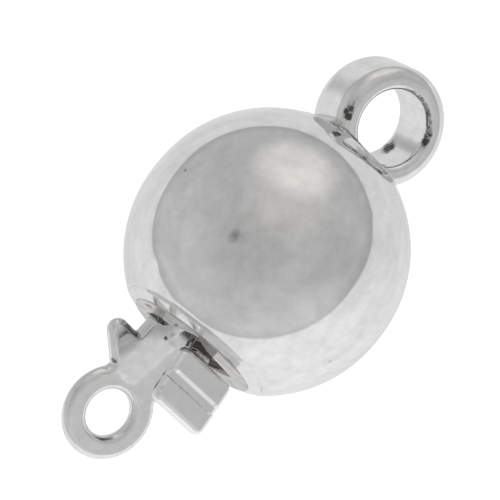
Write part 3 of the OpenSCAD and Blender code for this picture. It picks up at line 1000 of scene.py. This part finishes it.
@dataclass
class SpringLeaf:
    """The return leaf, which starts at the tongue's fold, and the thumb tab on its outer end."""

    metal: Metal
    tab_metal: Metal
    tongue: Tongue
    thickness: float = 0.396
    half_width: float = 0.898
    stem_half: float = 0.548
    fold_gap: float = 0.062
    taper_x: tuple[float, float] = (-3.3, -4.1)
    bend_x: float = -4.2
    front: tuple[float, float] = (-6.45, 1.22)
    tab_back: float = -4.664
    tab_front: float = -6.876
    tab_sides: tuple[float, float] = (-1.446, 1.166)
    tab_height: float = 1.717
    tab_slope: float = 5.8
    tab_thickness: float = 0.494
    tab_turn: float = 2.4
    # The grip channel's top edges and the ends of its floor, from the ball outwards
    grip_x: tuple[float, float, float, float] = (-5.51, -5.65, -5.9, -5.98)
    grip_depth: float = 0.09
    edge: float = 0.235
    corner: float = 0.35

    def top(self, x: Any) -> Any:
        """Height of the tab's plain top face at a distance x along the axis."""
        return self.tab_height + (-4.86 - x) * math.tan(math.radians(self.tab_slope))

    def leaf(self) -> None:
        """Builds the leaf: a strip that runs level, then climbs to the front of the tab."""
        fold = self.tongue.fold_centre()
        level = fold[2] + self.tongue.fold_radius
        begin = np.array([fold[0] - self.fold_gap, level])
        knee = np.array([self.bend_x, level])
        tip = np.array(self.front) + [-0.15, 0.05]
        # A quadratic curve rounds the knee: (1-t)^2 a + 2t(1-t) knee + t^2 b
        before, after = knee + [0.5, 0.0], knee + (tip - knee) * 0.22
        t = np.linspace(0, 1, 20)[:, None]
        bend = (1 - t) ** 2 * before + 2 * t * (1 - t) * knee + t ** 2 * after
        path = resample(np.vstack([begin[None], bend, tip[None]]), 0.12, closed=False)
        along = np.gradient(path, axis=0)
        along /= np.linalg.norm(along, axis=1, keepdims=True)
        # The strip runs towards -X, so its upper side is to the right of its direction
        normals = np.stack([along[:, 1], -along[:, 0]], axis=1)
        widths = [self.half_width, self.stem_half]
        half = np.interp(-path[:, 0], [-self.taper_x[0], -self.taper_x[1]], widths)
        points, faces = carry(path, normals, strip_section(half, self.thickness, 0.1))
        clean = np.zeros(points.shape[:2])
        add_piece("return_leaf", "spring_leaf", "leaf", [self.metal], points, faces, clean)

    def tab_view(self) -> np.ndarray:
        """The tab's outline in the side view: a slab with the grip channel in its top.

        Returns:
            Points (x, z).
        """
        back, front = self.tab_back, self.tab_front
        wall_back, floor_back, floor_front, wall_front = self.grip_x
        corners = [
            (back, self.top(back) - self.tab_thickness, 0.06),
            (back, self.top(back), 0.2),
            (wall_back, self.top(wall_back), 0.03),
            (floor_back, self.top(floor_back) - self.grip_depth, 0.03),
            (floor_front, self.top(floor_front) - self.grip_depth, 0.03),
            (wall_front, self.top(wall_front), 0.03),
            (front, self.top(front) - 0.02, 0.235),
            (front, self.top(front) - self.tab_thickness, 0.22)]
        return resample(rounded_outline(corners, 9), 0.05)

    def tab_shade(self, x: np.ndarray, y: np.ndarray, z: np.ndarray) -> np.ndarray:
        """Painted shade on the tab: on the channel's front wall, a painted shadow spot near the front of one
        side, a dark line along the back edge and a painted shadow along one side's lower edge.
        """
        groove = bell(x, (self.grip_x[2] + self.grip_x[3]) / 2, 0.05)
        front_hollow_shade = bell(x, -6.40, 0.15) * bell(y, 1.07, 0.10)
        edge_line = bell(x, self.tab_back - 0.05, 0.04)
        side = bell(y, self.tab_sides[1], 0.05) * (z < self.top(x) - self.tab_thickness / 2)
        return np.clip(0.62 * groove + 0.9 * front_hollow_shade + 0.45 * edge_line + 0.5 * side, 0, 1)

    def tab(self) -> None:
        """Builds the thumb tab: its side view carried across, drawn in at both sides.

        Near a side, at a distance d from it, the view is drawn in by r - root(r^2 - (r - d)^2): with
        the corner's radius along the view, and with the edge's radius across its thickness.
        """
        view = self.tab_view()
        low, high = self.tab_sides
        near = self.corner * (1 - np.sin(np.radians(np.linspace(0, 90, 22))))
        inner = np.linspace(low + self.corner, high - self.corner, 40)[1:-1]
        across = np.concatenate([[low], low + near[::-1], inner, high - near, [high]])
        depth = np.minimum(across - low, high - across)
        half_x, half_z = (self.tab_back - self.tab_front) / 2, self.tab_thickness / 2
        fill = np.concatenate([[0.0], np.ones(len(across) - 2), [0.0]])
        scales = []
        for radius, half in ((self.corner, half_x), (self.edge, half_z)):
            shrink = radius - np.sqrt(np.maximum(radius ** 2 - np.maximum(radius - depth, 0) ** 2, 0))
            scales.append((fill * (half - shrink) / half)[:, None])
        middle_x = (self.tab_back + self.tab_front) / 2
        x = middle_x + (view[None, :, 0] - middle_x) * scales[0]
        over_centre = view[:, 1] - (self.top(view[:, 0]) - half_z)
        z = self.top(x) - half_z + over_centre[None, :] * scales[1]
        y = np.broadcast_to(across[:, None], x.shape)
        turn = math.radians(self.tab_turn)
        dx, dy = x - self.tab_back, y - low
        points = np.stack([self.tab_back + dx * math.cos(turn) - dy * math.sin(turn),
                           low + dx * math.sin(turn) + dy * math.cos(turn), z], axis=2)
        faces = grid_faces(points, False, True)
        painted_shade = self.tab_shade(x, y, z)
        add_piece("thumb_tab", "spring_leaf", "leaf", [self.tab_metal], points, faces, painted_shade)


# Camera, floor and light


@dataclass(frozen=True)
class Patch:
    """A soft round patch of the room that the metal mirrors, lighter or darker than its surroundings."""

    name: str
    way: Point
    inner_deg: float
    outer_deg: float
    light: Point


@dataclass
class Studio:
    """The camera at the photograph's angle, a pale light table and soft light from above."""

    # The picture's axes in the clasp's own frame: to the right, up and towards the camera
    view: tuple[Point, ...] = (
        (0.6171, -0.5937, 0.5164), (0.7621, 0.6144, -0.2043), (-0.1959, 0.5196, 0.8316))
    pixels_per_mm: float = 28.43
    ball_pixel: tuple[float, float] = (267.3, 251.5)
    frame_pixels: float = 500.0
    distance_mm: float = 260.0
    sensor_mm: float = 36.0
    # The middle of the dim ceiling, as (right, up, toward) in the camera's frame
    dim_pole: Point = (-0.10, 0.40, 0.91)
    # Light of the room by the cosine of the angle from that middle, from behind it to its middle
    ceiling: tuple[tuple[float, float], ...] = (
        (-1.0, 0.78), (-0.115, 0.75), (-0.085, 0.40), (-0.045, 0.46), (0.06, 0.52), (0.55, 0.52), (1.0, 0.51))
    patches: tuple[Patch, ...] = (
        Patch("white_reflector", (0.30, -0.90, -0.30), 15, 75, (0.13, 0.13, 0.13)),
        Patch("low_glow", (-0.10, -0.95, 0.10), 20, 85, (0.06, 0.06, 0.06)),
        Patch("left_wall", (-0.95, -0.05, -0.05), 10, 65, (0.08, 0.08, 0.08)),
        Patch("grey_card", (0.83, -0.38, 0.40), 14, 34, (-0.03, -0.03, -0.03)),
        Patch("side_window", (0.60, -0.66, 0.46), 4, 28, (0.05, 0.05, 0.05)),
        Patch("warm_lamp", (0.31, 0.91, 0.27), 8, 34, (0.28, 0.265, 0.24)),
        Patch("warm_spill", (0.28, 0.62, 0.73), 5, 40, (0.10, 0.092, 0.08)),
        Patch("lamp_arm", (0.04, 0.52, 0.85), 3, 13, (0.05, 0.047, 0.042)),
        Patch("low_window", (0.15, -0.55, 0.80), 10, 60, (0.02, 0.02, 0.02)),
        Patch("lens", (-0.43, 0.23, 0.87), 0.5, 6, (-0.13, -0.13, -0.13)),
        Patch("lens_hood", (-0.39, 0.30, 0.87), 0.5, 5, (-0.12, -0.12, -0.12)),
        Patch("camera_grip", (-0.34, 0.24, 0.91), 0.5, 6, (-0.06, -0.06, -0.06)),
        Patch("photographer", (-0.18, 0.10, 0.97), 6, 40, (-0.04, -0.04, -0.04)))
    table_half: float = 1.2
    table_glow: float = 0.75
    lamp_at: Point = (0.03, 0.02, 0.16)
    lamp_width: float = 0.12
    lamp_watts: float = 0.028

    def axes(self) -> np.ndarray:
        """The picture's right, up and toward in the row's frame, as rows."""
        return np.array(self.view) @ AXES.T

    def turned(self, way: Sequence[float]) -> np.ndarray:
        """Turns a direction of the camera's frame into the row's frame, of length one."""
        found = np.array(way) @ self.axes()
        return found / np.linalg.norm(found)

    def camera(self) -> None:
        """Makes the camera: a long lens aimed so that the ball falls on its pixel."""
        right, up, toward = self.axes()
        offset_x, offset_y = (np.array(self.ball_pixel) - self.frame_pixels / 2) / self.pixels_per_mm
        spot = ORIGIN + (-offset_x * right + offset_y * up + self.distance_mm * toward) * MM
        data = bpy.data.cameras.new("camera")
        data.sensor_width = self.sensor_mm
        data.lens = self.sensor_mm * self.distance_mm / (self.frame_pixels / self.pixels_per_mm)
        data.clip_start = 0.005
        data.clip_end = 20.0
        camera = bpy.data.objects.new("camera", data)
        rows = np.eye(4)
        rows[:3] = np.column_stack([right, up, toward, spot])
        camera.matrix_world = Matrix(rows.tolist())
        bpy.context.scene.collection.objects.link(camera)
        bpy.context.scene.camera = camera

    def floor(self) -> None:
        """Makes the pale table: a matt white sheet on a soft light panel.

        The polished metal mirrors the room instead of the table, so that its look doesn't hang on
        how the clasp lies.
        """
        half = self.table_half
        mesh = bpy.data.meshes.new("table")
        corners = [(-half, -half, 0.0), (half, -half, 0.0), (half, half, 0.0), (-half, half, 0.0)]
        mesh.from_pydata(corners, [], [(0, 1, 2, 3)])
        table = bpy.data.objects.new("table", mesh)
        bpy.context.scene.collection.objects.link(table)
        # Matt white that glows by itself, so the ground stays as pale as the photograph's
        material = bpy.data.materials.new("opal_light_table")
        tree = clear_tree(material)
        shine = add_node(tree, "Emission", {"Color": (1.0, 1.0, 1.0, 1.0), "Strength": self.table_glow})
        matt = add_node(tree, "BsdfDiffuse", {"Color": linear_colour("#E6E6E6")})
        both = add_node(tree, "AddShader", None, {0: shine.outputs["Emission"], 1: matt.outputs["BSDF"]})
        add_node(tree, "OutputMaterial", None, {"Surface": both.outputs["Shader"]})
        mesh.materials.append(material)
        table.visible_glossy = False

    def room(self) -> None:
        """Makes the room that the metal mirrors: a dim ceiling, pale walls and soft patches.

        The light in a direction d is ceiling(d . pole), plus each patch's light times a smooth step
        of d . way between the cosines of its outer and inner angles, all times a faint unevenness.
        """
        world = bpy.data.worlds.new("studio")
        bpy.context.scene.world = world
        tree = clear_tree(world)
        where = add_node(tree, "TexCoord").outputs["Generated"]
        way = add_node(tree, "VectorMath", {"operation": "NORMALIZE"}, {0: where}).outputs["Vector"]
        share = self.cosine(tree, way, self.dim_pole, "ceiling")
        ramp = add_node(tree, "ValToRGB", None, {"Fac": add_range(tree, share, -1.0, 1.0)})
        stops = ramp.color_ramp.elements
        while len(stops) < len(self.ceiling):
            stops.new(0.5)
        for stop, (cosine, light) in zip(stops, self.ceiling):
            stop.position = (cosine + 1) / 2
            stop.color = (light, light, light, 1.0)
        total = ramp.outputs["Color"]
        for patch in self.patches:
            near = self.cosine(tree, way, patch.way, patch.name)
            outer, inner = (math.cos(math.radians(angle)) for angle in (patch.outer_deg, patch.inner_deg))
            amount = add_range(tree, near, outer, inner, easing="SMOOTHSTEP")
            light = add_node(tree, "VectorMath", {"operation": "SCALE", 0: patch.light}, {"Scale": amount})
            total = add_node(tree, "VectorMath", {"operation": "ADD"}, {0: total, 1: light.outputs["Vector"]})
            total = total.outputs["Vector"]
        gain = add_range(tree, add_noise(tree, way, 1 / 3, 3.0), 0.3, 0.7, 0.94, 1.06)
        scaled = add_node(tree, "VectorMath", {"operation": "SCALE"}, {0: total, "Scale": gain})
        back = add_node(tree, "Background", {"Strength": 1.0}, {"Color": scaled.outputs["Vector"]})
        add_node(tree, "OutputWorld", None, {"Surface": back.outputs["Background"]})

    def cosine(self, tree: Tree, way: Any, pole: Sequence[float], label: str) -> Any:
        """The output that gives the cosine of the angle between a direction and a pole."""
        settings = {"operation": "DOT_PRODUCT", "label": label, 1: tuple(self.turned(pole))}
        return add_node(tree, "VectorMath", settings, {0: way}).outputs["Value"]

    def softbox(self) -> None:
        """Adds one broad soft light from above, which the polished metal doesn't mirror."""
        data = bpy.data.lights.new("softbox", "AREA")
        data.shape = "DISK"
        data.size = self.lamp_width
        data.energy = self.lamp_watts
        lamp = bpy.data.objects.new("softbox", data)
        lamp.visible_glossy = False
        lamp.location = self.lamp_at
        lamp.rotation_euler = Vector(self.lamp_at).to_track_quat("Z", "Y").to_euler()
        bpy.context.scene.collection.objects.link(lamp)


def main() -> None:
    """Builds the studio, and then the pieces in order from the ball outwards."""
    logging.basicConfig(level=logging.INFO, format="%(name)s: %(message)s")
    bpy.context.scene.view_settings.view_transform = "Standard"
    studio = Studio()
    studio.camera()
    studio.floor()
    studio.room()
    studio.softbox()
    metal = {finish: finish.value.make() for finish in Finish}
    ball = Ball(metal[Finish.BALL], metal[Finish.INSIDE], metal[Finish.PLATE])
    ball.shell()
    ball.plate()
    SolderRing(metal[Finish.RING]).build()
    tongue = Tongue(metal[Finish.TONGUE])
    tongue.build()
    leaf = SpringLeaf(metal[Finish.TONGUE], metal[Finish.TAB], tongue)
    leaf.leaf()
    leaf.tab()


if __name__ == "__main__":
    main()
